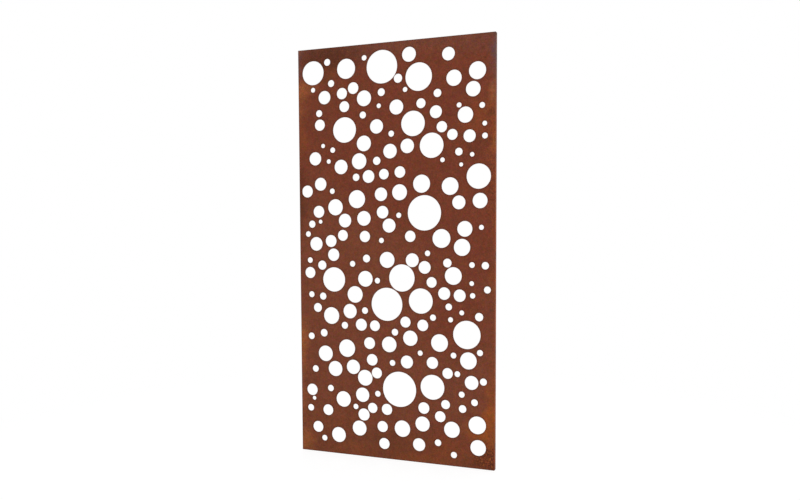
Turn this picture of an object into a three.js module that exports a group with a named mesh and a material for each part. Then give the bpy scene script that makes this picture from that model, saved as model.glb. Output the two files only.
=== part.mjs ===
// Laser cut metal screen: a steel sheet pierced with round holes of many sizes, stiffened by four flat bars
// that stand on edge behind its rim. Short fillet welds on the back join the bars to the sheet and to each other.
//
// Millimetres. +X runs along the width, +Y to the back and +Z up; the front face looks along -Y. The origin lies
// under the middle of the panel, at half its depth.

import * as THREE from "three";

// Driving dimensions

const PANEL_WIDTH = 900;
const PANEL_HEIGHT = 1800;
const SHEET_THICKNESS = 2;
const BAR_DEPTH = 20; // how far an edge bar reaches back from the sheet
const BAR_THICKNESS = 3;

const WELD_LEG = 3; // width of a fillet on each of the two faces that it joins
const STITCH_LENGTH = 30;
const STITCH_END_DISTANCE = 100; // from a panel corner to the middle of the nearest stitch
const STITCH_PITCH = 400; // the stitches between are spread as near to this as the side allows

const FIXING_HOLE_DIAMETER = 9; // clears an M8 screw
const FIXING_END_DISTANCE = 150; // from the panel's top or bottom to the nearest fixing hole

const RIM_CLEARANCE = 5; // the least sheet left between the welds along the rim and a hole

// How far the flat of a faceted hole may lie inside the true circle, and the fewest flats that it has.
const CHORD_ERROR = 0.8;
const FEWEST_SIDES = 10;

// The hole pattern, drawn on a board of this size and stretched to the panel. Each hole is [x, z, diameter],
// measured from the board's lower left corner, seen from the front.

const BOARD_WIDTH = 900;
const BOARD_HEIGHT = 1800;

const HOLES = [
  // from 1500 to the top: left third, middle third, right third
  [73, 1696, 104], [143, 1738, 30], [234, 1703, 86], [161, 1645, 30], [72, 1622, 21], [267, 1618, 50],
  [213, 1598, 49], [128, 1586, 58], [224, 1541, 47], [101, 1518, 30],
  [320, 1743, 23], [402, 1699, 141], [526, 1741, 62], [569, 1645, 118], [476, 1645, 38], [399, 1592, 33],
  [508, 1596, 21], [318, 1571, 67], [387, 1535, 20], [468, 1525, 63], [579, 1534, 41], [312, 1500, 30],
  [700, 1729, 55], [824, 1652, 72], [724, 1629, 66], [806, 1579, 62], [652, 1572, 34], [746, 1517, 21],
  [844, 1511, 24],

  // from 1200 to 1500
  [104, 1467, 49], [224, 1440, 110], [119, 1375, 19], [166, 1355, 24], [80, 1320, 58], [146, 1306, 20],
  [206, 1280, 63], [293, 1302, 69], [278, 1233, 32], [105, 1207, 57],
  [376, 1448, 61], [543, 1452, 106], [316, 1378, 67], [444, 1414, 26], [517, 1359, 61], [438, 1340, 62],
  [376, 1301, 35], [337, 1235, 55], [409, 1243, 45], [483, 1250, 49],
  [645, 1495, 53], [773, 1476, 66], [671, 1432, 46], [855, 1437, 20], [626, 1357, 105], [717, 1398, 45],
  [791, 1389, 52], [856, 1387, 24], [745, 1326, 32], [802, 1313, 19], [674, 1295, 20], [755, 1273, 17],
  [830, 1223, 103],

  // from 900 to 1200
  [39, 1176, 53], [162, 1175, 24], [281, 1138, 78], [177, 1104, 71], [95, 1085, 53], [61, 1030, 32],
  [103, 1041, 18], [41, 986, 25], [81, 942, 61], [154, 955, 53], [212, 980, 48], [223, 1045, 60],
  [581, 1198, 76], [395, 1157, 58], [481, 1164, 68], [593, 1075, 149], [402, 1080, 54], [314, 1054, 64],
  [477, 1066, 23], [432, 1022, 60], [318, 975, 49], [396, 958, 23], [529, 976, 48],
  [707, 1185, 73], [745, 1117, 57], [836, 1123, 63], [607, 904, 24], [669, 967, 79], [771, 1007, 65],
  [842, 1013, 21], [759, 930, 71],

  // from 600 to 900
  [166, 894, 55], [49, 869, 25], [109, 847, 41], [49, 813, 50], [167, 784, 108], [258, 855, 26],
  [269, 720, 73], [55, 715, 27], [112, 708, 32], [85, 656, 40], [153, 622, 75], [244, 645, 64],
  [319, 790, 69], [325, 879, 34], [422, 874, 69], [538, 874, 59], [490, 797, 117], [376, 783, 25],
  [594, 844, 54], [420, 681, 144], [576, 700, 108], [316, 650, 29], [506, 607, 47],
  [695, 864, 37], [721, 810, 74], [802, 857, 24], [859, 855, 31], [625, 781, 45], [801, 780, 20],
  [868, 755, 29], [805, 729, 23], [681, 735, 53], [749, 728, 52], [701, 679, 29], [758, 656, 21],
  [833, 641, 35], [631, 631, 27], [709, 625, 22],

  // from 300 to 600
  [218, 581, 31], [298, 587, 53], [115, 543, 34], [52, 526, 30], [228, 479, 78], [122, 450, 70],
  [258, 397, 64], [170, 384, 68], [71, 378, 30],
  [363, 585, 47], [585, 596, 49], [457, 561, 30], [528, 538, 66], [337, 507, 52], [430, 506, 68],
  [573, 476, 23], [349, 434, 51], [445, 426, 26], [512, 434, 56], [371, 377, 48], [477, 312, 154],
  [315, 352, 70],
  [628, 332, 107], [780, 564, 119], [660, 524, 75], [837, 491, 26], [722, 474, 25], [787, 455, 72],
  [628, 437, 51], [696, 396, 46], [739, 396, 25], [801, 363, 59], [852, 370, 30], [758, 310, 26],

  // from the bottom to 300
  [53, 281, 52], [146, 294, 29], [209, 249, 70], [63, 243, 18], [45, 198, 30], [132, 194, 49],
  [269, 220, 24], [81, 113, 50], [184, 85, 68], [113, 64, 26], [286, 124, 67],
  [302, 275, 64], [308, 187, 54], [375, 285, 26], [350, 220, 45], [418, 219, 49], [397, 141, 49],
  [490, 140, 72], [567, 77, 56], [405, 66, 49], [589, 239, 50], [583, 169, 65],
  [814, 280, 29], [687, 262, 39], [762, 249, 33], [663, 208, 47], [826, 185, 75], [715, 156, 69],
  [830, 89, 67], [653, 94, 29], [724, 48, 27],
];

// Places worked out from the dimensions

const FRONT = -(SHEET_THICKNESS + BAR_DEPTH) / 2;
const SHEET_BACK = FRONT + SHEET_THICKNESS;
const RIGHT = PANEL_WIDTH / 2;
const LEFT = -RIGHT;
const BAR_MIDDLE = SHEET_BACK + BAR_DEPTH / 2;

const X = new THREE.Vector3(1, 0, 0);
const Y = new THREE.Vector3(0, 1, 0);
const Z = new THREE.Vector3(0, 0, 1);

const screen = new THREE.Group();

function addPiece(name, geometry, material, place) {
  const mesh = new THREE.Mesh(geometry, material);
  mesh.name = name;
  mesh.position.copy(place);
  screen.add(mesh);
}

// Materials: bare steel with a closed coat of rust, and the darker, smoother weld metal

function rustedSteel() {
  return new THREE.MeshStandardMaterial({ color: 0x733e2c, roughness: 0.9, metalness: 0.2 });
}

function weldMetal() {
  return new THREE.MeshStandardMaterial({ color: 0x4b332c, roughness: 0.6, metalness: 0.5 });
}

// Shapes

function rectangle(width, height) {
  const shape = new THREE.Shape();
  shape.moveTo(0, 0);
  shape.lineTo(width, 0);
  shape.lineTo(width, height);
  shape.lineTo(0, height);
  return shape;
}

// A round hole as a polygon with its corners on the true circle.
function roundHole(x, y, diameter) {
  const radius = diameter / 2;
  const halfFlat = Math.acos(1 - CHORD_ERROR / radius);
  const sides = Math.max(FEWEST_SIDES, Math.ceil(Math.PI / halfFlat));
  const corners = Array.from({ length: sides }, (_, i) => {
    const angle = (2 * Math.PI * i) / sides;
    return new THREE.Vector2(x + radius * Math.cos(angle), y + radius * Math.sin(angle));
  });
  return new THREE.Path(corners);
}

// A fillet weld's section: its right angle sits in the seam, and its face bulges a little.
function filletSection() {
  const shape = new THREE.Shape();
  shape.moveTo(0, 0);
  shape.lineTo(WELD_LEG, 0);
  shape.absarc(0, 0, WELD_LEG, 0, Math.PI / 2);
  return shape;
}

// Extrudes a shape, with its own x turned to `across` and its own y to `up`. It runs towards across x up.
function extrude(shape, length, across, up) {
  const arcSteps = 4;
  const geometry = new THREE.ExtrudeGeometry(shape, {
    depth: length,
    bevelEnabled: false,
    curveSegments: arcSteps,
  });
  const along = new THREE.Vector3().crossVectors(across, up);
  return geometry.applyMatrix4(new THREE.Matrix4().makeBasis(across, up, along));
}

// The face sheet. The pattern's places stretch with the panel. Its diameters follow the lesser stretch, so that
// the webs between the holes stay open. A hole that would come too near the rim's welds is left out.

function holesOnPanel() {
  const stretchX = PANEL_WIDTH / BOARD_WIDTH;
  const stretchZ = PANEL_HEIGHT / BOARD_HEIGHT;
  const stretchHole = Math.min(stretchX, stretchZ);
  const rim = BAR_THICKNESS + WELD_LEG + RIM_CLEARANCE;
  return HOLES.map(([x, z, diameter]) => [x * stretchX, z * stretchZ, diameter * stretchHole])
    .filter(([x, z, diameter]) => {
      const room = rim + diameter / 2;
      return x >= room && x <= PANEL_WIDTH - room && z >= room && z <= PANEL_HEIGHT - room;
    });
}

function faceSheet() {
  const outline = rectangle(PANEL_WIDTH, PANEL_HEIGHT);
  for (const [x, z, diameter] of holesOnPanel()) {
    outline.holes.push(roundHole(x, z, diameter));
  }
  return extrude(outline, SHEET_THICKNESS, X, Z);
}

addPiece("face_sheet", faceSheet(), rustedSteel(), new THREE.Vector3(LEFT, SHEET_BACK, 0));

// The edge bars. The two at the sides run the full height and carry the fixing holes, halfway between the welds
// and the bar's rear edge. The two at the top and bottom fit between them.

function sideBar() {
  const fixingDepth = (WELD_LEG + BAR_DEPTH) / 2;
  const outline = rectangle(BAR_DEPTH, PANEL_HEIGHT);
  for (const height of [FIXING_END_DISTANCE, PANEL_HEIGHT / 2, PANEL_HEIGHT - FIXING_END_DISTANCE]) {
    outline.holes.push(roundHole(fixingDepth, height, FIXING_HOLE_DIAMETER));
  }
  return extrude(outline, BAR_THICKNESS, Y, Z);
}

function crossBar() {
  return new THREE.BoxGeometry(PANEL_WIDTH - 2 * BAR_THICKNESS, BAR_DEPTH, BAR_THICKNESS);
}

addPiece("edge_bar_left", sideBar(), rustedSteel(), new THREE.Vector3(LEFT, SHEET_BACK, 0));
addPiece("edge_bar_right", sideBar(), rustedSteel(), new THREE.Vector3(RIGHT - BAR_THICKNESS, SHEET_BACK, 0));

const bottomBarPlace = new THREE.Vector3(0, BAR_MIDDLE, BAR_THICKNESS / 2);
const topBarPlace = new THREE.Vector3(0, BAR_MIDDLE, PANEL_HEIGHT - BAR_THICKNESS / 2);
addPiece("edge_bar_bottom", crossBar(), rustedSteel(), bottomBarPlace);
addPiece("edge_bar_top", crossBar(), rustedSteel(), topBarPlace);

// The welds. Each is a short fillet whose section reaches `inward` on one face and `up` on the other, and whose
// middle is at `place`, on the seam.

function addFillet(name, length, inward, up, place) {
  const geometry = extrude(filletSection(), length, inward, up);
  const along = new THREE.Vector3().crossVectors(inward, up);
  const start = place.clone().addScaledVector(along, -length / 2);
  addPiece(name, geometry, weldMetal(), start);
}

const innerLeft = LEFT + BAR_THICKNESS;
const innerRight = RIGHT - BAR_THICKNESS;
const innerBottom = BAR_THICKNESS;
const innerTop = PANEL_HEIGHT - BAR_THICKNESS;

// The middles of the stitches along a side, measured from one end of it.
function stitchPlaces(sideLength) {
  const span = sideLength - 2 * STITCH_END_DISTANCE;
  const gaps = Math.max(1, Math.round(span / STITCH_PITCH));
  return Array.from({ length: gaps + 1 }, (_, i) => STITCH_END_DISTANCE + (span * i) / gaps);
}

stitchPlaces(PANEL_HEIGHT).forEach((height, i) => {
  const leftPlace = new THREE.Vector3(innerLeft, SHEET_BACK, height);
  const rightPlace = new THREE.Vector3(innerRight, SHEET_BACK, height);
  addFillet(`stitch_weld_left_${i + 1}`, STITCH_LENGTH, X, Y, leftPlace);
  addFillet(`stitch_weld_right_${i + 1}`, STITCH_LENGTH, X.clone().negate(), Y, rightPlace);
});

stitchPlaces(PANEL_WIDTH).forEach((distance, i) => {
  const bottomPlace = new THREE.Vector3(LEFT + distance, SHEET_BACK, innerBottom);
  const topPlace = new THREE.Vector3(LEFT + distance, SHEET_BACK, innerTop);
  addFillet(`stitch_weld_bottom_${i + 1}`, STITCH_LENGTH, Z, Y, bottomPlace);
  addFillet(`stitch_weld_top_${i + 1}`, STITCH_LENGTH, Z.clone().negate(), Y, topPlace);
});

for (const [height, level, up] of [["bottom", innerBottom, Z], ["top", innerTop, Z.clone().negate()]]) {
  for (const [side, edge, inward] of [["left", innerLeft, X], ["right", innerRight, X.clone().negate()]]) {
    const place = new THREE.Vector3(edge, BAR_MIDDLE, level);
    addFillet(`corner_weld_${height}_${side}`, BAR_DEPTH, inward, up, place);
  }
}

export default screen;
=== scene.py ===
"""Laser cut metal screen in weathering steel: the finished pieces, the light and the camera.

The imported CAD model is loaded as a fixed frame. The sheet, the four edge bars and the weld beads are built over
it at their exact places, with round holes and softened edges, and take a rust that is made of shader nodes.
Lengths are metres: X across the width, Y to the back, Z up.
"""

import math

import bmesh
import bpy
from bpy.props import FloatProperty, FloatVectorProperty, IntProperty, PointerProperty
from mathutils import Matrix, Vector
from mathutils.geometry import delaunay_2d_cdt


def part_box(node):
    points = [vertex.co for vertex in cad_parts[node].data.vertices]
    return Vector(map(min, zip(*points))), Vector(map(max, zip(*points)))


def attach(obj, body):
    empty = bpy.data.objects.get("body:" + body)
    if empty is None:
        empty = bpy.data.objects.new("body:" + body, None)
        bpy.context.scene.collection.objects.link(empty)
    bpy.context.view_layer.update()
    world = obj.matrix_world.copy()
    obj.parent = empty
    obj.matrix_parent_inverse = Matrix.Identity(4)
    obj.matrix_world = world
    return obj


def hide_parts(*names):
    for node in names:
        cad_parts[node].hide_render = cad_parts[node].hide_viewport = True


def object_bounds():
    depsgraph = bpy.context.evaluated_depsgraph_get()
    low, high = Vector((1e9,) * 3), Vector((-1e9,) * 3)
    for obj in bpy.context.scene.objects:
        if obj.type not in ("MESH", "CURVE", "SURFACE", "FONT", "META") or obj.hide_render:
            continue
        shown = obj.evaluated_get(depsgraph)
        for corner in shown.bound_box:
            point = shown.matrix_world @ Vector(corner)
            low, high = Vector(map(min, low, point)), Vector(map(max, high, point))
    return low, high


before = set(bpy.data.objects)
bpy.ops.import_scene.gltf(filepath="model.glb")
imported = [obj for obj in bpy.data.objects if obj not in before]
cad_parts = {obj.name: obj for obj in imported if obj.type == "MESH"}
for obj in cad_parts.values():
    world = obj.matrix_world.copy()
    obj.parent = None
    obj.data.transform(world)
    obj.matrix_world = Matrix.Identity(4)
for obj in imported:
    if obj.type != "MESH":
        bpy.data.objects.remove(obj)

bl_info = {
    "name": "Laser cut metal screen",
    "version": (1, 0, 0),
    "blender": (4, 5, 0),
    "location": "3D View > Sidebar > Screen",
    "description": "Builds the rusted sheet, its edge bars and weld beads over the packed frame",
    "category": "Object",
}

CAD_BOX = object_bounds()
PANEL_LOW, PANEL_HIGH = CAD_BOX
PANEL_MIDDLE = (PANEL_LOW + PANEL_HIGH) / 2
MM = 0.001
SAME_POINT = 0.001 * MM  # CAD points nearer than this are one
SAME_PLANE = 0.01 * MM  # CAD faces nearer than this to a plate's side lie on it

BARS = ("edge_bar_left", "edge_bar_right", "edge_bar_bottom", "edge_bar_top")
WELDS = [name for name in sorted(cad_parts) if "weld" in name]


def on_screen(red, green, blue):
    """A colour as it looks on screen, 0 to 255, turned into linear light."""
    return tuple(((c / 255 + 0.055) / 1.055) ** 2.4 for c in (red, green, blue))


# ---------------------------------------------------------------- settings


class SheetSettings(bpy.types.PropertyGroup):
    rim_radius: FloatProperty(
        name="Rim radius",
        description="Rounding that rust gives to the laser cut edges",
        default=0.25 * MM,
        unit="LENGTH",
    )
    corner_radius: FloatProperty(
        name="Corner radius",
        description="Rounding of the four outer corners of the sheet",
        default=0.6 * MM,
        unit="LENGTH",
    )
    roundness: FloatProperty(
        name="Roundness",
        description="How far a drawn edge may lie inside the true circle of a hole",
        default=0.05 * MM,
        unit="LENGTH",
    )
    heat_width: FloatProperty(
        name="Heat width",
        description="Width of the ring that the laser darkened round each hole",
        default=9.0 * MM,
        unit="LENGTH",
    )
    red_rust: FloatVectorProperty(
        name="Red rust",
        description="Rust of the upper half",
        default=on_screen(109, 52, 33),
        subtype="COLOR",
    )
    brown_rust: FloatVectorProperty(
        name="Brown rust",
        description="Greyer rust of the lower half",
        default=on_screen(112, 59, 39),
        subtype="COLOR",
    )
    olive_rust: FloatVectorProperty(
        name="Olive rust",
        description="Yellower rust near the bottom and round the dark blots",
        default=on_screen(111, 59, 29),
        subtype="COLOR",
    )
    grey_rust: FloatVectorProperty(
        name="Grey rust",
        description="Rust with a grey bloom, in the upper corners and at the right edge",
        default=on_screen(94, 66, 64),
        subtype="COLOR",
    )
    dusty_rust: FloatVectorProperty(
        name="Dusty rust",
        description="Paler, duller rust in a band along the top",
        default=on_screen(104, 62, 49),
        subtype="COLOR",
    )
    orange_rust: FloatVectorProperty(
        name="Orange rust",
        description="Younger rust in patches along the edges",
        default=on_screen(147, 74, 21),
        subtype="COLOR",
    )
    pale_rust: FloatVectorProperty(
        name="Pale rust",
        description="Sandy rust in patches along the left edge and the upper right edge",
        default=on_screen(147, 83, 44),
        subtype="COLOR",
    )
    dark_rust: FloatVectorProperty(
        name="Dark rust",
        description="Old, dense rust in dark blots and on the cut edges",
        default=on_screen(74, 35, 17),
        subtype="COLOR",
    )
    maroon_rust: FloatVectorProperty(
        name="Maroon rust",
        description="Deep red rust in the lower right corner",
        default=on_screen(86, 34, 10),
        subtype="COLOR",
    )
    young_rust: FloatVectorProperty(
        name="Young rust",
        description="Fresh orange rust in fine flecks",
        default=on_screen(150, 78, 36),
        subtype="COLOR",
    )


class BarSettings(bpy.types.PropertyGroup):
    edge_radius: FloatProperty(
        name="Edge radius",
        description="Rounding of the rolled corners of the flat bar",
        default=0.45 * MM,
        unit="LENGTH",
    )
    corner_radius: FloatProperty(
        name="Corner radius",
        description="Rounding of a bar's outline at its two ends",
        default=0.55 * MM,
        unit="LENGTH",
    )
    roundness: FloatProperty(
        name="Roundness",
        description="How far a drawn edge may lie inside the true circle of a fixing hole",
        default=0.03 * MM,
        unit="LENGTH",
    )
    rust: FloatVectorProperty(
        name="Bar rust",
        description="Bright rust of the edge bars",
        default=on_screen(160, 88, 54),
        subtype="COLOR",
    )
    old_rust: FloatVectorProperty(
        name="Old bar rust",
        description="Redder rust in clouds along the edge bars",
        default=on_screen(138, 70, 44),
        subtype="COLOR",
    )
    grey_rust: FloatVectorProperty(
        name="Grey bar rust",
        description="Grey bloom on the upper end of the bars",
        default=on_screen(120, 86, 76),
        subtype="COLOR",
    )
    mill_scale: FloatVectorProperty(
        name="Mill scale",
        description="Dark skin of the rolling that is left on the bars, and the tint round the welds",
        default=on_screen(78, 60, 56),
        subtype="COLOR",
    )


class WeldSettings(bpy.types.PropertyGroup):
    ripple_pitch: FloatProperty(
        name="Ripple pitch",
        description="Distance from one ripple of a bead to the next",
        default=1.6 * MM,
        unit="LENGTH",
    )
    ripple_depth: FloatProperty(
        name="Ripple depth",
        description="Depth of a ripple as a share of the width of the bead's legs",
        default=0.13,
        subtype="FACTOR",
    )
    ripple_bow: FloatProperty(
        name="Ripple bow",
        description="How far the middle of a ripple runs ahead of its ends",
        default=0.9 * MM,
        unit="LENGTH",
    )
    taper_length: FloatProperty(
        name="Taper length",
        description="Length over which each end of a bead rounds off",
        default=2.2 * MM,
        unit="LENGTH",
    )
    ring_pitch: FloatProperty(
        name="Ring pitch",
        description="Spacing of the rings of faces along a bead",
        default=0.32 * MM,
        unit="LENGTH",
    )
    arc_steps: IntProperty(
        name="Arc steps",
        description="Faces across the round of a bead",
        default=9,
        min=3,
    )
    metal: FloatVectorProperty(
        name="Weld metal",
        description="Main colour of the beads",
        default=on_screen(88, 64, 55),
        subtype="COLOR",
    )
    rust: FloatVectorProperty(
        name="Bead rust",
        description="Rust in clouds on the beads",
        default=on_screen(124, 66, 38),
        subtype="COLOR",
    )


class StageSettings(bpy.types.PropertyGroup):
    camera_place: FloatVectorProperty(
        name="Camera place",
        description="Where the camera stands",
        default=(1.2240, -3.0831, 1.0155),
        subtype="TRANSLATION",
        unit="LENGTH",
    )
    turn: FloatProperty(
        name="Turn",
        description="Turn of the camera to its left",
        default=math.radians(21.206),
        subtype="ANGLE",
    )
    tilt: FloatProperty(
        name="Tilt",
        description="Tilt of the camera downwards",
        default=math.radians(3.498),
        subtype="ANGLE",
    )
    roll: FloatProperty(
        name="Roll",
        description="Roll of the camera about its line of sight",
        default=math.radians(-0.232),
        subtype="ANGLE",
    )
    lens: FloatProperty(
        name="Lens",
        description="Focal length in millimetres on a 36 mm sensor",
        default=34.552,
    )
    shift: FloatProperty(
        name="Shift",
        description="Upward shift of the lens as a share of the picture's width",
        default=0.030,
    )
    sky: FloatProperty(
        name="Sky",
        description="Strength of the even light from all round",
        default=0.74,
    )
    floor_shadow: FloatProperty(
        name="Floor shadow",
        description="Share of its real shading that the floor shows to the camera",
        default=0.20,
        subtype="FACTOR",
    )


# ---------------------------------------------------------------- meshes


def add_piece(name, mesh, material, finish, *nodes):
    """A finished piece that stands for its CAD nodes and rides with them."""
    piece = bpy.data.objects.new(name, mesh)
    bpy.context.scene.collection.objects.link(piece)
    mesh.materials.append(material)
    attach(piece, "root")
    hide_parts(*nodes)


def closed_mesh(name, points, walls, flats, cut_edge=None):
    """A closed mesh with smooth walls and plane flats. cut_edge is kept as a value on its points."""
    shell = bmesh.new()
    made = [shell.verts.new(point) for point in points]
    for corners, smooth in [(w, True) for w in walls] + [(f, False) for f in flats]:
        face = shell.faces.new([made[i] for i in corners])
        face.smooth = smooth
    bmesh.ops.recalc_face_normals(shell, faces=shell.faces)
    mesh = bpy.data.meshes.new(name)
    shell.to_mesh(mesh)
    shell.free()
    if cut_edge is not None:
        value = mesh.attributes.new("cut_edge", "FLOAT", "POINT")
        value.data.foreach_set("value", cut_edge)
    return mesh


def rims_of(node, across, along, up):
    """The rims on the side of a CAD plate that is lowest along `across`, as lists of (along, up) points."""
    plate = bmesh.new()
    plate.from_mesh(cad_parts[node].data)
    bmesh.ops.remove_doubles(plate, verts=plate.verts, dist=SAME_POINT)
    side = min(v.co[across] for v in plate.verts)
    flat = {f for f in plate.faces if all(abs(v.co[across] - side) < SAME_PLANE for v in f.verts)}
    following = {}  # each point on a rim, and the next one round it
    for face in flat:
        for loop in face.loops:
            if not any(f in flat and f is not face for f in loop.edge.link_faces):
                following[loop.vert] = loop.link_loop_next.vert
    rims = []
    while following:
        start = vert = next(iter(following))
        rim = []
        while vert in following:
            rim.append((vert.co[along], vert.co[up]))
            vert = following.pop(vert)
        assert vert is start, f"an open rim on {node}"
        rims.append(rim)
    plate.free()
    return rims


def circles_of(node, across, along, up):
    """Centre and radius of each round hole of a CAD plate. The corners of its rims lie on the true circles."""
    rims = rims_of(node, across, along, up)
    outline = max(rims, key=lambda rim: max(p[0] for p in rim) - min(p[0] for p in rim))
    circles = []
    for rim in rims:
        if rim is outline:
            continue
        x = sum(p[0] for p in rim) / len(rim)
        z = sum(p[1] for p in rim) / len(rim)
        circles.append((x, z, sum(math.hypot(p[0] - x, p[1] - z) for p in rim) / len(rim)))
    return sorted(circles)


def circle_ring(circle, sides, outwards):
    """Points round a hole, moved outwards from its wall."""
    x, z, radius = circle
    turn = [2 * math.pi * i / sides for i in range(sides)]
    return [(x + (radius + outwards) * math.cos(a), z + (radius + outwards) * math.sin(a)) for a in turn]


def outline_ring(low, high, corner, inwards, steps=4):
    """Points round a rectangle with rounded corners, moved inwards from its edge."""
    middles = (
        (high[0] - corner, high[1] - corner),
        (low[0] + corner, high[1] - corner),
        (low[0] + corner, low[1] + corner),
        (high[0] - corner, low[1] + corner),
    )
    ring = []
    for quarter, (x, z) in enumerate(middles):
        for i in range(steps + 1):
            a = (quarter + i / steps) * math.pi / 2
            ring.append((x + (corner - inwards) * math.cos(a), z + (corner - inwards) * math.sin(a)))
    return ring


def edge_profile(front, back, radius, steps=2):
    """(inset, depth) of each ring from a plate's front face over its rounded edges to its back face."""
    turn = [math.pi / 2 * i / steps for i in range(steps + 1)]
    over = [(radius * (1 - math.sin(a)), front + radius * (1 - math.cos(a))) for a in turn]
    return over + [(inset, front + back - depth) for inset, depth in reversed(over)]


def heat_ring(circle, circles, sides, low, high, rounding, heat_width):
    """A second ring of points round a hole, and how strong the heat of the cut still is at each of them.

    It lies heat_width from the cut, or nearly halfway to the next edge where that is nearer.
    """
    x, z, radius = circle
    others = [c for c in circles if c is not circle]
    near = [c for c in others if math.dist((x, z), c[:2]) - radius - c[2] < 3 * heat_width]
    ring, darkening = [], []
    for u, v in circle_ring(circle, sides, rounding):
        gaps = [math.dist((u, v), c[:2]) - c[2] - rounding for c in near]
        gaps += [u - low[0], high[0] - u, v - low[1], high[1] - v]
        reach = min(heat_width, 0.45 * min(gaps))
        outwards = 1 + reach / (radius + rounding)
        ring.append((x + (u - x) * outwards, z + (v - z) * outwards))
        darkening.append(1 - reach / heat_width)
    return ring, darkening


def pierced_plate(name, low, high, circles, place, corner, rounding, roundness, heat_width=0.0):
    """A flat plate with round holes.

    low and high are its corners as (along, up, depth). place turns (along, up, depth) into a point. corner is
    the radius of its outline's corners and rounding that of its edges. Where heat_width is given, each hole
    gets a heat ring, and cut_edge falls from 1 at the cut to 0 where the heat no longer reaches.
    """
    front, back = low[2], high[2]
    profile = edge_profile(front, back, rounding)
    points, cut_edge, walls, flats = [], [], [], []
    contours = []

    def add_ring(ring, depth, values):
        first = len(points)
        points.extend(place(u, v, depth) for u, v in ring)
        cut_edge.extend(values)
        return list(range(first, len(points)))

    def add_contour(rings, value):
        made = [add_ring(ring, depth, [value] * len(ring)) for ring, (_, depth) in zip(rings, profile)]
        for a, b in zip(made, made[1:]):
            for i in range(len(a)):
                j = (i + 1) % len(a)
                walls.append((a[i], a[j], b[j], b[i]))
        contours.append((rings[0], made[0], made[-1]))

    add_contour([outline_ring(low, high, corner, inset) for inset, _ in profile], 0.0)
    for circle in circles:
        sides = 4 * math.ceil(math.pi / math.acos(1 - roundness / circle[2]) / 4)
        add_contour([circle_ring(circle, sides, inset) for inset, _ in profile], 1.0)
        if heat_width:
            ring, darkening = heat_ring(circle, circles, sides, low, high, rounding, heat_width)
            contours.append((ring, add_ring(ring, front, darkening), add_ring(ring, back, darkening)))

    flat_points, owner, front_ids, back_ids, edges = [], [], [], [], []
    for number, (ring, front_ring, back_ring) in enumerate(contours):
        first = len(flat_points)
        flat_points += [Vector(p) for p in ring]
        owner += [number] * len(ring)
        front_ids += front_ring
        back_ids += back_ring
        edges += [(first + i, first + (i + 1) % len(ring)) for i in range(len(ring))]
    # The outline comes first, then each hole's cut edge, with its heat ring after it where there is one.
    holes = set(range(1, len(contours), 2 if heat_width else 1))
    inside_outline, merging_distance = 1, 1e-9
    _, _, triangles, origin, _, _ = delaunay_2d_cdt(flat_points, edges, [], inside_outline, merging_distance)
    source = [ids[0] for ids in origin]
    for triangle in triangles:
        corners = [source[i] for i in triangle]
        rings = {owner[i] for i in corners}
        if len(rings) == 1 and rings <= holes:  # it would close a hole
            continue
        flats.append([front_ids[i] for i in corners])
        flats.append([back_ids[i] for i in reversed(corners)])
    return closed_mesh(name, points, walls, flats, cut_edge)


def seam_of(node):
    """Both ends of the seam that a CAD weld fills, and its two legs as vectors from the seam."""
    low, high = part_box(node)
    size = high - low
    run = max(range(3), key=lambda axis: size[axis])
    root, end, legs = low.copy(), high.copy(), []
    for axis in range(3):
        if axis == run:
            continue
        # The seam lies against the sheet, in front, and against the bars, on the side away from the middle.
        in_front = axis == 1
        outwards = abs(low[axis] - PANEL_MIDDLE[axis]) > abs(high[axis] - PANEL_MIDDLE[axis])
        at_low = in_front or outwards
        leg = Vector((0, 0, 0))
        leg[axis] = size[axis] if at_low else -size[axis]
        legs.append(leg)
        root[axis] = end[axis] = low[axis] if at_low else high[axis]
    return root, end, *legs


def weld_bead(name, root, end, leg_a, leg_b, settings):
    """A rippled fillet bead from root to end, in the corner between the directions of leg_a and leg_b."""
    run = end - root
    length = run.length
    rings = max(8, round(length / settings.ring_pitch))
    steps = settings.arc_steps
    taper = settings.taper_length
    end_height = 0.35  # share of its full height that the bead has at its very ends
    points, walls = [], []
    for i in range(rings + 1):
        at = length * i / rings
        from_end = min(at, length - at, taper) / taper
        swell = end_height + (1 - end_height) * math.sqrt(max(0.0, 1 - (1 - from_end) ** 2))
        middle = root + run * (at / length)
        points.append(middle)
        for k in range(steps + 1):
            a = math.pi / 2 * k / steps
            crown = math.sin(2 * a)  # 0 at the bead's toes and 1 in the middle of its face
            ripple = ((at + settings.ripple_bow * crown) / settings.ripple_pitch) % 1
            uneven = 0.02 * math.sin(at * 900 + 3 * a)  # a slow swelling, about every 7 mm
            wave = settings.ripple_depth * (1 - ripple) ** 2 + uneven
            # The face lies just inside a quarter circle, more so in the middle, where the ripples are deepest.
            reach = swell * (0.98 - wave * (0.4 + 0.6 * crown) - 0.06 * crown)
            points.append(middle + leg_a * (reach * math.cos(a)) + leg_b * (reach * math.sin(a)))
    across = steps + 2
    for i in range(rings):
        for k in range(across):
            j = (k + 1) % across
            a, b = i * across, (i + 1) * across
            walls.append((a + k, a + j, b + j, b + k))
    first = tuple(range(across))
    last = tuple(rings * across + k for k in reversed(range(across)))
    return closed_mesh(name, points, walls, [first, last])


# ---------------------------------------------------------------- materials


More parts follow.
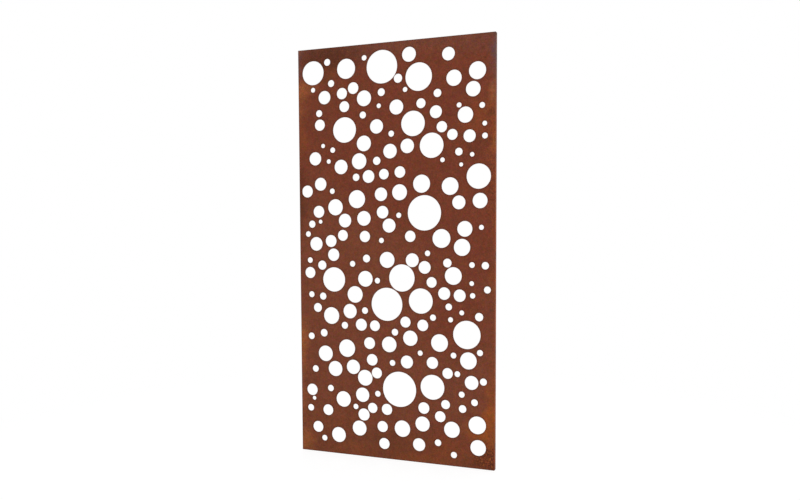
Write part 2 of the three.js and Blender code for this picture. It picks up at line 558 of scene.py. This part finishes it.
class Nodes:
    """A node tree. Its methods add nodes and give back their outputs."""

    def __init__(self, tree):
        self.tree = tree

    def add(self, kind, inputs=(), **settings):
        node = self.tree.nodes.new(kind)
        for key, value in settings.items():
            setattr(node, key, value)
        for key, value in dict(inputs).items():
            self.feed(node.inputs[key], value)
        return node

    def feed(self, socket, value):
        if isinstance(value, bpy.types.NodeSocket):
            self.tree.links.new(value, socket)
        else:
            socket.default_value = value

    def maths(self, operation, a, b=0.0, c=0.0, clamp=False):
        return self.add("ShaderNodeMath", {0: a, 1: b, 2: c}, operation=operation, use_clamp=clamp).outputs[0]

    def rays_to_background(self):
        """1 for the rays that see the white background: the camera's, and those through gloss and glass."""
        rays = self.add("ShaderNodeLightPath").outputs
        seen = self.maths("MAXIMUM", rays["Is Camera Ray"], rays["Is Glossy Ray"])
        return self.maths("MAXIMUM", seen, rays["Is Transmission Ray"])


class Finish(Nodes):
    """One material, with more methods for the nodes that rust and its like are made of."""

    def __init__(self, name):
        self.material = bpy.data.materials.new(name)
        self.material.use_nodes = True
        super().__init__(self.material.node_tree)
        self.shader = self.tree.nodes["Principled BSDF"]

    def vectors(self, operation, a, b, c=(0, 0, 0)):
        return self.add("ShaderNodeVectorMath", {0: a, 1: b, 2: c}, operation=operation).outputs[0]

    def noise(self, place, scale, detail=2.0, roughness=0.5, distortion=0.0):
        inputs = {"Vector": place, "Scale": scale, "Detail": detail, "Roughness": roughness}
        inputs["Distortion"] = distortion
        return self.add("ShaderNodeTexNoise", inputs).outputs[0]

    def span(self, value, low, high, to_low=0.0, to_high=1.0):
        """value from low to high turned into to_low to to_high with soft ends."""
        inputs = {"Value": value, "From Min": low, "From Max": high, "To Min": to_low, "To Max": to_high}
        return self.add("ShaderNodeMapRange", inputs, interpolation_type="SMOOTHSTEP").outputs[0]

    def blend(self, share, below, above, mode="MIX"):
        """Two colours mixed. Each is an output or has the three values of a setting."""
        inputs = {0: share}
        for socket, colour in ((6, below), (7, above)):
            inputs[socket] = colour if isinstance(colour, bpy.types.NodeSocket) else (*colour, 1)
        return self.add("ShaderNodeMix", inputs, data_type="RGBA", blend_type=mode).outputs[2]

    def tinted(self, colour, tint):
        return self.blend(1.0, colour, tint, "MULTIPLY")

    def grey(self, value):
        """A value as a colour that has it in all three channels."""
        return self.add("ShaderNodeCombineColor", {0: value, 1: value, 2: value}).outputs[0]

    def moved(self, place, offset=(0, 0, 0), scale=(1, 1, 1)):
        """place scaled and then shifted, for another cut through a noise or for a stretched one."""
        return self.add("ShaderNodeMapping", {"Vector": place, "Location": offset, "Scale": scale}).outputs[0]

    def patches(self, place, spots):
        """The strongest at each point of soft oval spots, each (x, z, reach across, reach up, strength)."""
        strongest = None
        for x, z, across, up, strength in spots:
            near = self.moved(place, (-x / across, 0, -z / up), (1 / across, 0, 1 / up))
            oval = self.add("ShaderNodeTexGradient", {"Vector": near}, gradient_type="SPHERICAL").outputs[1]
            spot = self.maths("MULTIPLY", self.span(oval, 0.0, 0.75), strength)
            strongest = spot if strongest is None else self.maths("MAXIMUM", strongest, spot)
        return strongest

    def coat(self, colour, roughness, specular):
        """Give the shader its colour, roughness and specular level."""
        for name, value in (("Base Color", colour), ("Roughness", roughness), ("Specular IOR Level", specular)):
            self.feed(self.shader.inputs[name], value)

    def relief(self, height, strength, distance):
        """Give the shader a fine relief from a height."""
        inputs = {"Height": height, "Strength": strength, "Distance": distance}
        self.feed(self.shader.inputs["Normal"], self.add("ShaderNodeBump", inputs).outputs[0])


# Where the face has another rust: (x from the middle, z, reach across, reach up, strength).
RED_SPOTS = (
    (0.290, 0.645, 0.225, 0.250, 0.85),
    (0.230, 0.100, 0.220, 0.110, 0.60),
)
OLIVE_SPOTS = (
    (-0.300, 0.110, 0.300, 0.190, 0.30),
    (0.020, 0.060, 0.260, 0.120, 0.35),
    (0.250, 0.030, 0.200, 0.080, 0.30),
    (-0.330, 1.690, 0.150, 0.060, 0.50),
)
GREY_SPOTS = (
    (0.462, 1.750, 0.038, 0.170, 1.00),
    (0.455, 0.890, 0.040, 0.080, 0.30),
    (0.455, 1.650, 0.040, 0.080, 0.45),
    (0.455, 1.540, 0.018, 0.200, 0.35),
    (-0.458, 1.770, 0.040, 0.130, 0.85),
)
PALE_SPOTS = (
    (-0.455, 1.625, 0.125, 0.075, 0.78),
    (-0.400, 1.620, 0.085, 0.038, 0.45),
    (-0.370, 1.655, 0.060, 0.024, 0.30),
    (-0.462, 1.770, 0.036, 0.085, 0.34),
    (-0.460, 1.560, 0.070, 0.120, 0.36),
    (-0.460, 0.480, 0.055, 0.210, 0.75),
    (-0.460, 0.240, 0.050, 0.110, 0.50),
    (-0.455, 0.040, 0.090, 0.080, 0.72),
    (0.455, 1.545, 0.050, 0.080, 0.55),
    (0.455, 1.350, 0.040, 0.070, 0.55),
)
ORANGE_SPOTS = (
    (-0.450, 1.410, 0.050, 0.160, 0.24),
    (0.400, 1.480, 0.090, 0.080, 0.24),
    (0.360, 1.435, 0.100, 0.050, 0.16),
    (0.450, 1.420, 0.050, 0.120, 0.34),
    (0.455, 1.210, 0.030, 0.120, 0.18),
    (0.455, 0.900, 0.040, 0.300, 0.25),
    (0.450, 0.480, 0.040, 0.160, 0.18),
    (0.450, 0.320, 0.044, 0.150, 0.38),
    (0.440, 0.210, 0.056, 0.120, 0.70),
    (0.405, 0.165, 0.100, 0.075, 0.74),
    (0.435, 0.110, 0.045, 0.060, 0.55),
    (0.130, 0.015, 0.200, 0.040, 0.22),
    (0.250, 0.060, 0.130, 0.080, 0.15),
    (-0.200, 0.020, 0.150, 0.060, 0.14),
)
DARK_SPOTS = (
    (-0.290, 1.758, 0.215, 0.098, 0.84),
    (-0.360, 1.700, 0.110, 0.070, 0.38),
    (-0.460, 1.140, 0.080, 0.170, 0.70),
    (0.375, 1.350, 0.075, 0.065, 0.34),
    (0.435, 1.465, 0.028, 0.028, 0.60),
    (-0.040, 0.085, 0.160, 0.080, 0.26),
    (0.452, 1.790, 0.020, 0.040, 0.40),
    (0.413, 1.697, 0.014, 0.014, 0.55),
    (0.408, 1.742, 0.012, 0.012, 0.50),
)
MAROON_SPOTS = (
    (0.430, 0.040, 0.105, 0.090, 0.78),
    (-0.460, 1.130, 0.060, 0.140, 0.28),
)
FLECKED_SPOTS = (
    (0.430, 0.055, 0.100, 0.110, 1.00),
    (0.200, 1.772, 0.330, 0.070, 0.26),
    (0.430, 1.250, 0.060, 0.400, 0.45),
    (-0.440, 0.300, 0.050, 0.400, 0.40),
)


def mottling(finish, place):
    """Clouds, mottling and grain as a colour that a rust is multiplied by, and the grain by itself."""
    clouds = finish.noise(place, 14.0, detail=4.0, roughness=0.55, distortion=0.4)
    mottle = finish.noise(place, 60.0, detail=3.0, roughness=0.6, distortion=0.3)
    grain = finish.noise(place, 300.0, detail=6.0, roughness=0.7)
    hue = finish.noise(finish.moved(place, (3.0, 1.0, 2.0)), 75.0, detail=3.0, roughness=0.65)
    bloom = finish.noise(finish.moved(place, (5.0, 2.0, 4.0)), 110.0, detail=3.0, roughness=0.6)
    shade = finish.maths("ADD", finish.span(clouds, 0.25, 0.75, -0.06, 0.06), 1.0)
    shade = finish.maths("ADD", shade, finish.span(mottle, 0.25, 0.75, -0.105, 0.105))
    shade = finish.maths("ADD", shade, finish.span(grain, 0.2, 0.8, -0.38, 0.38))
    hue = finish.span(hue, 0.25, 0.75, -1.0, 1.0)
    reds = finish.maths("MULTIPLY_ADD", hue, 0.08, shade)
    greens = finish.maths("MULTIPLY_ADD", hue, -0.13, shade)
    blues = finish.maths("ADD", finish.span(bloom, 0.25, 0.75, -0.40, 0.40), shade)
    return finish.add("ShaderNodeCombineColor", {0: reds, 1: greens, 2: blues}).outputs[0], grain


def weld_spots():
    """Oval spots round the weld beads, where their heat tinted the metal, in the form of the spots of rust."""
    spread = 12 * MM  # how far the tint reaches past a bead
    spots = []
    for node in WELDS:
        low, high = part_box(node)
        middle, half = (low + high) / 2, (high - low) / 2
        spots.append((middle.x, middle.z, half.x + spread, half.z + spread, 1.0))
    return spots


def sheet_material(settings):
    """Rust of the sheet, with orange and dark patches along its edges, heat rings round its holes and painted
    shade along its outer edges.
    """
    finish = Finish("rusted_sheet")
    place = finish.add("ShaderNodeTexCoord").outputs["Object"]
    axes = finish.add("ShaderNodeSeparateXYZ", {0: place})
    x, z = axes.outputs[0], axes.outputs[2]
    facing = finish.add("ShaderNodeSeparateXYZ", {0: finish.add("ShaderNodeNewGeometry").outputs["Normal"]})
    back = finish.maths("GREATER_THAN", facing.outputs[1], 0.5)
    wall = finish.maths("LESS_THAN", finish.maths("ABSOLUTE", facing.outputs[1]), 0.5)

    # The back takes another cut through the noises than the front, so that it doesn't repeat it.
    side = finish.add("ShaderNodeCombineXYZ", {1: finish.maths("MULTIPLY", back, 3.0)}).outputs[0]
    own = finish.vectors("ADD", place, side)

    # The spots are pushed about by a noise, so that their outlines are loose.
    warp = finish.add("ShaderNodeTexNoise", {"Vector": own, "Scale": 11.0, "Detail": 3.0}).outputs[1]
    pushed = finish.vectors("SUBTRACT", warp, (0.5, 0.5, 0.5))
    loose = finish.vectors("MULTIPLY_ADD", pushed, (0.10, 0.10, 0.10), place)

    # Red rust above and brown below, parted by a slanting, cloudy line.
    slope = finish.maths("MULTIPLY_ADD", x, 0.45, z)
    clouds = finish.noise(own, 3.0, detail=3.0)
    drift = finish.maths("MULTIPLY_ADD", clouds, 0.5, slope)
    split = finish.span(drift, 1.40, 1.15)
    split = finish.maths("SUBTRACT", split, finish.patches(loose, RED_SPOTS), clamp=True)
    colour = finish.blend(split, settings.red_rust, settings.brown_rust)

    # Bands and spots of other rust. The stronger ones break up into fine flecks.
    top = finish.span(finish.maths("MULTIPLY_ADD", clouds, 0.12, z), 1.76, 1.85, 0.0, 0.55)
    colour = finish.blend(top, colour, settings.dusty_rust)
    colour = finish.blend(finish.patches(loose, OLIVE_SPOTS), colour, settings.olive_rust)
    colour = finish.blend(finish.patches(loose, GREY_SPOTS), colour, settings.grey_rust)
    fleck = finish.noise(own, 160.0, detail=4.0, roughness=0.7)
    rough = finish.span(fleck, 0.30, 0.62, 0.55, 1.15)
    dense = finish.span(fleck, 0.70, 0.35, 0.5, 1.1)
    for spots, weight, rust in (
        (PALE_SPOTS, rough, settings.pale_rust),
        (ORANGE_SPOTS, rough, settings.orange_rust),
        (DARK_SPOTS, dense, settings.dark_rust),
        (MAROON_SPOTS, dense, settings.maroon_rust),
    ):
        share = finish.maths("MULTIPLY", finish.patches(loose, spots), weight, clamp=True)
        colour = finish.blend(share, colour, rust)

    # Young flecks and dark pits all over, and larger ones where the rust is flecked.
    young = finish.span(finish.noise(own, 420.0), 0.58, 0.68, 0.0, 0.40)
    pits = finish.span(finish.noise(finish.moved(own, (7.0, 3.0, 1.0)), 380.0), 0.60, 0.70, 0.0, 0.50)
    flecked = finish.patches(loose, FLECKED_SPOTS)
    bright = finish.span(finish.noise(finish.moved(own, (1.0, 8.0, 3.0)), 170.0), 0.52, 0.66)
    blots = finish.span(finish.noise(finish.moved(own, (4.0, 6.0, 9.0)), 150.0), 0.52, 0.66)
    young = finish.maths("MAXIMUM", young, finish.maths("MULTIPLY", bright, flecked))
    pits = finish.maths("MAXIMUM", pits, finish.maths("MULTIPLY", blots, flecked))
    colour = finish.blend(pits, colour, settings.dark_rust)
    colour = finish.blend(young, colour, settings.young_rust)
    tint, grain = mottling(finish, own)
    colour = finish.tinted(colour, tint)

    # Heat darkens the cut edges of the holes and the back of the sheet behind the welds. Painted shade darkens
    # the outer edges of the sheet, less so along the right edge, which faces the light.
    right, top_edge = PANEL_HIGH.x, PANEL_HIGH.z
    from_sides = finish.maths("SUBTRACT", right, finish.maths("ABSOLUTE", x))
    from_ends = finish.maths("MINIMUM", z, finish.maths("SUBTRACT", top_edge, z))
    # Painted shade within 6 mm of the outer edges, weaker near the right edge, which faces the light.
    rim = finish.span(finish.maths("MINIMUM", from_sides, from_ends), 6 * MM, 0.0)
    rim = finish.maths("MULTIPLY", rim, finish.span(x, right - 4 * MM, right - 10 * MM, 0.2, 1.0))
    darkening = finish.add("ShaderNodeAttribute", attribute_name="cut_edge").outputs["Fac"]
    # Here the heat of the hole cuts and the painted edge shade are joined into one darkening.
    darkening = finish.maths("MULTIPLY", finish.maths("MAXIMUM", darkening, rim), 0.40)
    scorch = finish.maths("MULTIPLY", finish.patches(place, weld_spots()), finish.maths("MULTIPLY", back, 0.65))
    colour = finish.blend(finish.maths("MAXIMUM", darkening, scorch), colour, settings.dark_rust)

    # The laser leaves fine streaks through the thickness of each cut.
    streaks = finish.noise(finish.moved(place, scale=(1, 0.10, 1)), 1500.0, detail=3.0)
    streaks = finish.grey(finish.span(streaks, 0.35, 0.65, 0.72, 1.12))
    colour = finish.tinted(colour, finish.blend(wall, (1.0, 1.0, 1.0), streaks))

    finish.coat(colour, finish.span(grain, 0.2, 0.8, 0.78, 0.96), specular=0.2)
    height = finish.maths("ADD", grain, finish.maths("MULTIPLY", fleck, 0.6))
    height = finish.maths("SUBTRACT", height, finish.maths("MULTIPLY", pits, 0.8))
    finish.relief(height, strength=0.5, distance=0.4 * MM)
    return finish.material


def bar_material(settings):
    """Rust of the edge bars, a little lighter than the sheet, with mill scale and streaks along the rolling."""
    finish = Finish("rusted_edge")
    place = finish.add("ShaderNodeTexCoord").outputs["Object"]
    axes = finish.add("ShaderNodeSeparateXYZ", {0: place})
    clouds = finish.noise(place, 9.0, detail=4.0, roughness=0.6)
    colour = finish.blend(finish.span(clouds, 0.35, 0.65), settings.old_rust, settings.rust)

    # The streaks of the rolling run along each bar. The upright bars lie outside the others' ends.
    cross_bar_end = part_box("edge_bar_right")[0].x
    across = finish.maths("ABSOLUTE", axes.outputs[0])
    upright = finish.maths("GREATER_THAN", across, cross_bar_end - 0.1 * MM)
    upward = finish.noise(finish.moved(place, scale=(1, 1, 0.05)), 420.0, detail=3.0, roughness=0.6)
    sideways = finish.noise(finish.moved(place, scale=(0.05, 1, 1)), 420.0, detail=3.0, roughness=0.6)
    streaks = finish.add("ShaderNodeMix", {0: upright, 2: sideways, 3: upward}).outputs[0]

    high = finish.maths("MULTIPLY_ADD", clouds, 0.3, axes.outputs[2])
    colour = finish.blend(finish.span(high, 1.60, 1.85, 0.0, 0.9), colour, settings.grey_rust)
    scale = finish.noise(
        finish.moved(place, (2.0, 5.0, 1.0)), 38.0, detail=5.0, roughness=0.7, distortion=0.6
    )
    scale = finish.maths("MULTIPLY_ADD", streaks, 0.25, scale)
    scale = finish.span(scale, 0.68, 0.73, 0.0, 0.55)
    colour = finish.blend(scale, colour, settings.mill_scale)
    tint, grain = mottling(finish, place)
    colour = finish.tinted(colour, tint)
    colour = finish.tinted(colour, finish.grey(finish.span(streaks, 0.30, 0.70, 0.86, 1.14)))
    scorch = finish.maths("MULTIPLY", finish.patches(place, weld_spots()), 0.55)
    colour = finish.blend(scorch, colour, settings.mill_scale)

    finish.coat(colour, finish.span(grain, 0.2, 0.8, 0.70, 0.95), specular=0.2)
    height = finish.maths("MULTIPLY_ADD", streaks, 0.6, grain)
    height = finish.maths("MULTIPLY_ADD", scale, 0.5, height)
    finish.relief(height, strength=0.5, distance=0.4 * MM)
    return finish.material


def weld_material(settings):
    """Dark, slightly smoother metal of the weld beads."""
    finish = Finish("weld_metal")
    place = finish.add("ShaderNodeTexCoord").outputs["Object"]
    split = finish.span(finish.noise(place, 180.0, detail=3.0, roughness=0.6), 0.4, 0.6)
    tint, grain = mottling(finish, place)
    colour = finish.tinted(finish.blend(split, settings.metal, settings.rust), tint)
    finish.coat(colour, finish.span(grain, 0.2, 0.8, 0.5, 0.8), specular=0.35)
    finish.relief(grain, strength=0.25, distance=0.2 * MM)
    return finish.material


# ---------------------------------------------------------------- operators


class SCREEN_OT_sheet(bpy.types.Operator):
    """Build the laser cut sheet with its round holes"""

    bl_idname = "screen.sheet"
    bl_label = "Pierced sheet"

    def execute(self, context):
        settings = context.scene.screen_sheet
        low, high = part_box("face_sheet")
        mesh = pierced_plate(
            "pierced_sheet",
            (low.x, low.z, low.y),
            (high.x, high.z, high.y),
            circles_of("face_sheet", across=1, along=0, up=2),
            lambda along, up, depth: (along, depth, up),
            settings.corner_radius,
            settings.rim_radius,
            settings.roundness,
            settings.heat_width,
        )
        add_piece("pierced_sheet", mesh, sheet_material(settings), "rusted_sheet", "face_sheet")
        return {"FINISHED"}


class SCREEN_OT_bars(bpy.types.Operator):
    """Build the four flat bars that stand on edge behind the rim"""

    bl_idname = "screen.bars"
    bl_label = "Edge bars"

    def execute(self, context):
        settings = context.scene.screen_bars
        material = bar_material(settings)
        for node in BARS:
            low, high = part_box(node)
            if node in ("edge_bar_left", "edge_bar_right"):
                across, along, up = 0, 1, 2
            else:
                across, along, up = 2, 0, 1
            circles = circles_of(node, across, along, up) if across == 0 else []

            def place(u, v, depth):
                point = [0.0, 0.0, 0.0]
                point[along], point[up], point[across] = u, v, depth
                return point

            mesh = pierced_plate(
                node.replace("edge_bar", "flat_bar"),
                (low[along], low[up], low[across]),
                (high[along], high[up], high[across]),
                circles,
                place,
                settings.corner_radius,
                settings.edge_radius,
                settings.roundness,
            )
            add_piece(mesh.name, mesh, material, "rusted_edge", node)
        return {"FINISHED"}


class SCREEN_OT_welds(bpy.types.Operator):
    """Build the rippled beads that join the bars to the sheet and to each other"""

    bl_idname = "screen.welds"
    bl_label = "Weld beads"

    def execute(self, context):
        settings = context.scene.screen_welds
        material = weld_material(settings)
        for node in WELDS:
            mesh = weld_bead(node.replace("weld", "bead"), *seam_of(node), settings)
            add_piece(mesh.name, mesh, material, "weld_metal", node)
        return {"FINISHED"}


class SCREEN_OT_stage(bpy.types.Operator):
    """Set the floor, the lights and the camera"""

    bl_idname = "screen.stage"
    bl_label = "Stage"

    def execute(self, context):
        settings = context.scene.screen_stage
        scene = context.scene
        scene.view_settings.view_transform = "Standard"
        build_floor(settings)
        build_world(settings)
        add_lamp("key_light", place=(4.8, -5.0, 3.6), power=165.0)
        add_lamp("fill_light", place=(-4.2, -5.4, 2.6), power=25.0)
        add_lamp("back_light", place=(-2.5, 5.5, 3.4), power=110.0)

        lens = bpy.data.cameras.new("camera")
        lens.lens = settings.lens
        lens.shift_y = settings.shift
        camera = bpy.data.objects.new("camera", lens)
        scene.collection.objects.link(camera)
        camera.matrix_world = (
            Matrix.Translation(settings.camera_place)
            @ Matrix.Rotation(settings.turn, 4, "Z")
            @ Matrix.Rotation(math.pi / 2 - settings.tilt, 4, "X")
            @ Matrix.Rotation(settings.roll, 4, "Z")
        )
        scene.camera = camera
        return {"FINISHED"}


def add_lamp(name, place, power):
    """A soft square lamp, 3 m wide, that looks at the middle of the panel."""
    light = bpy.data.lights.new(name, "AREA")
    light.shape = "SQUARE"
    light.size = 3.0
    light.energy = power
    lamp = bpy.data.objects.new(name, light)
    bpy.context.scene.collection.objects.link(lamp)
    lamp.location = place
    lamp.rotation_euler = (PANEL_MIDDLE - Vector(place)).to_track_quat("-Z", "Y").to_euler()


def build_floor(settings):
    """A pale floor that shows the camera white with a faint shadow near the panel."""
    half = 20.0
    corners = [(-half, -half, 0), (half, -half, 0), (half, half, 0), (-half, half, 0)]
    mesh = bpy.data.meshes.new("floor")
    mesh.from_pydata(corners, [], [(0, 1, 2, 3)])
    floor = bpy.data.objects.new("floor", mesh)
    bpy.context.scene.collection.objects.link(floor)

    finish = Finish("pale_floor")
    finish.coat((0.85, 0.85, 0.85, 1), roughness=0.9, specular=0.1)
    place = finish.add("ShaderNodeTexCoord").outputs["Object"]
    away = finish.add("ShaderNodeVectorMath", {0: place}, operation="LENGTH").outputs["Value"]
    near, far = 0.6, 2.2  # the shading fades out between these distances
    shading = finish.span(away, near, far, settings.floor_shadow, 0.0)
    share = finish.maths("MULTIPLY", finish.rays_to_background(), finish.maths("SUBTRACT", 1.0, shading))
    # The glow makes up for the open floor's own brightness, so that the two add up to white near the panel too.
    open_floor = 0.65
    glow = (1 - open_floor * settings.floor_shadow) / (1 - settings.floor_shadow)
    level = finish.span(away, near, far, glow, 1.0)
    white = finish.add("ShaderNodeEmission", {"Color": (1, 1, 1, 1), "Strength": level}).outputs[0]
    mixed = finish.add("ShaderNodeMixShader", {0: share, 1: finish.shader.outputs[0], 2: white}).outputs[0]
    finish.tree.links.new(mixed, finish.tree.nodes["Material Output"].inputs["Surface"])
    mesh.materials.append(finish.material)


def build_world(settings):
    """Even light from all round, behind which the camera sees white."""
    world = bpy.data.worlds.new("studio")
    bpy.context.scene.world = world
    world.use_nodes = True
    world.node_tree.nodes.clear()
    studio = Nodes(world.node_tree)
    white = (1, 1, 1, 1)
    light = studio.add("ShaderNodeBackground", {"Color": white, "Strength": settings.sky}).outputs[0]
    seen = studio.add("ShaderNodeBackground", {"Color": white, "Strength": 1.0}).outputs[0]
    mixed = studio.add("ShaderNodeMixShader", {0: studio.rays_to_background(), 1: light, 2: seen}).outputs[0]
    studio.add("ShaderNodeOutputWorld", {0: mixed})


class SCREEN_PT_panel(bpy.types.Panel):
    """The screen's parts and settings in the sidebar"""

    bl_label = "Laser cut metal screen"
    bl_space_type = "VIEW_3D"
    bl_region_type = "UI"
    bl_category = "Screen"

    def draw(self, context):
        for group, operator in PARTS:
            box = self.layout.box()
            settings = getattr(context.scene, group)
            for name in settings.__annotations__:
                box.prop(settings, name)
            box.operator(operator)


PARTS = (
    ("screen_sheet", "screen.sheet"),
    ("screen_bars", "screen.bars"),
    ("screen_welds", "screen.welds"),
    ("screen_stage", "screen.stage"),
)
GROUPS = (SheetSettings, BarSettings, WeldSettings, StageSettings)
CLASSES = (*GROUPS, SCREEN_OT_sheet, SCREEN_OT_bars, SCREEN_OT_welds, SCREEN_OT_stage, SCREEN_PT_panel)


def register():
    for cls in CLASSES:
        bpy.utils.register_class(cls)
    for (name, _), group in zip(PARTS, GROUPS):
        setattr(bpy.types.Scene, name, PointerProperty(type=group))


def unregister():
    for name, _ in PARTS:
        delattr(bpy.types.Scene, name)
    for cls in reversed(CLASSES):
        bpy.utils.unregister_class(cls)


def main():
    register()
    bpy.ops.screen.sheet()
    bpy.ops.screen.bars()
    bpy.ops.screen.welds()
    bpy.ops.screen.stage()


if __name__ == "__main__":
    main()
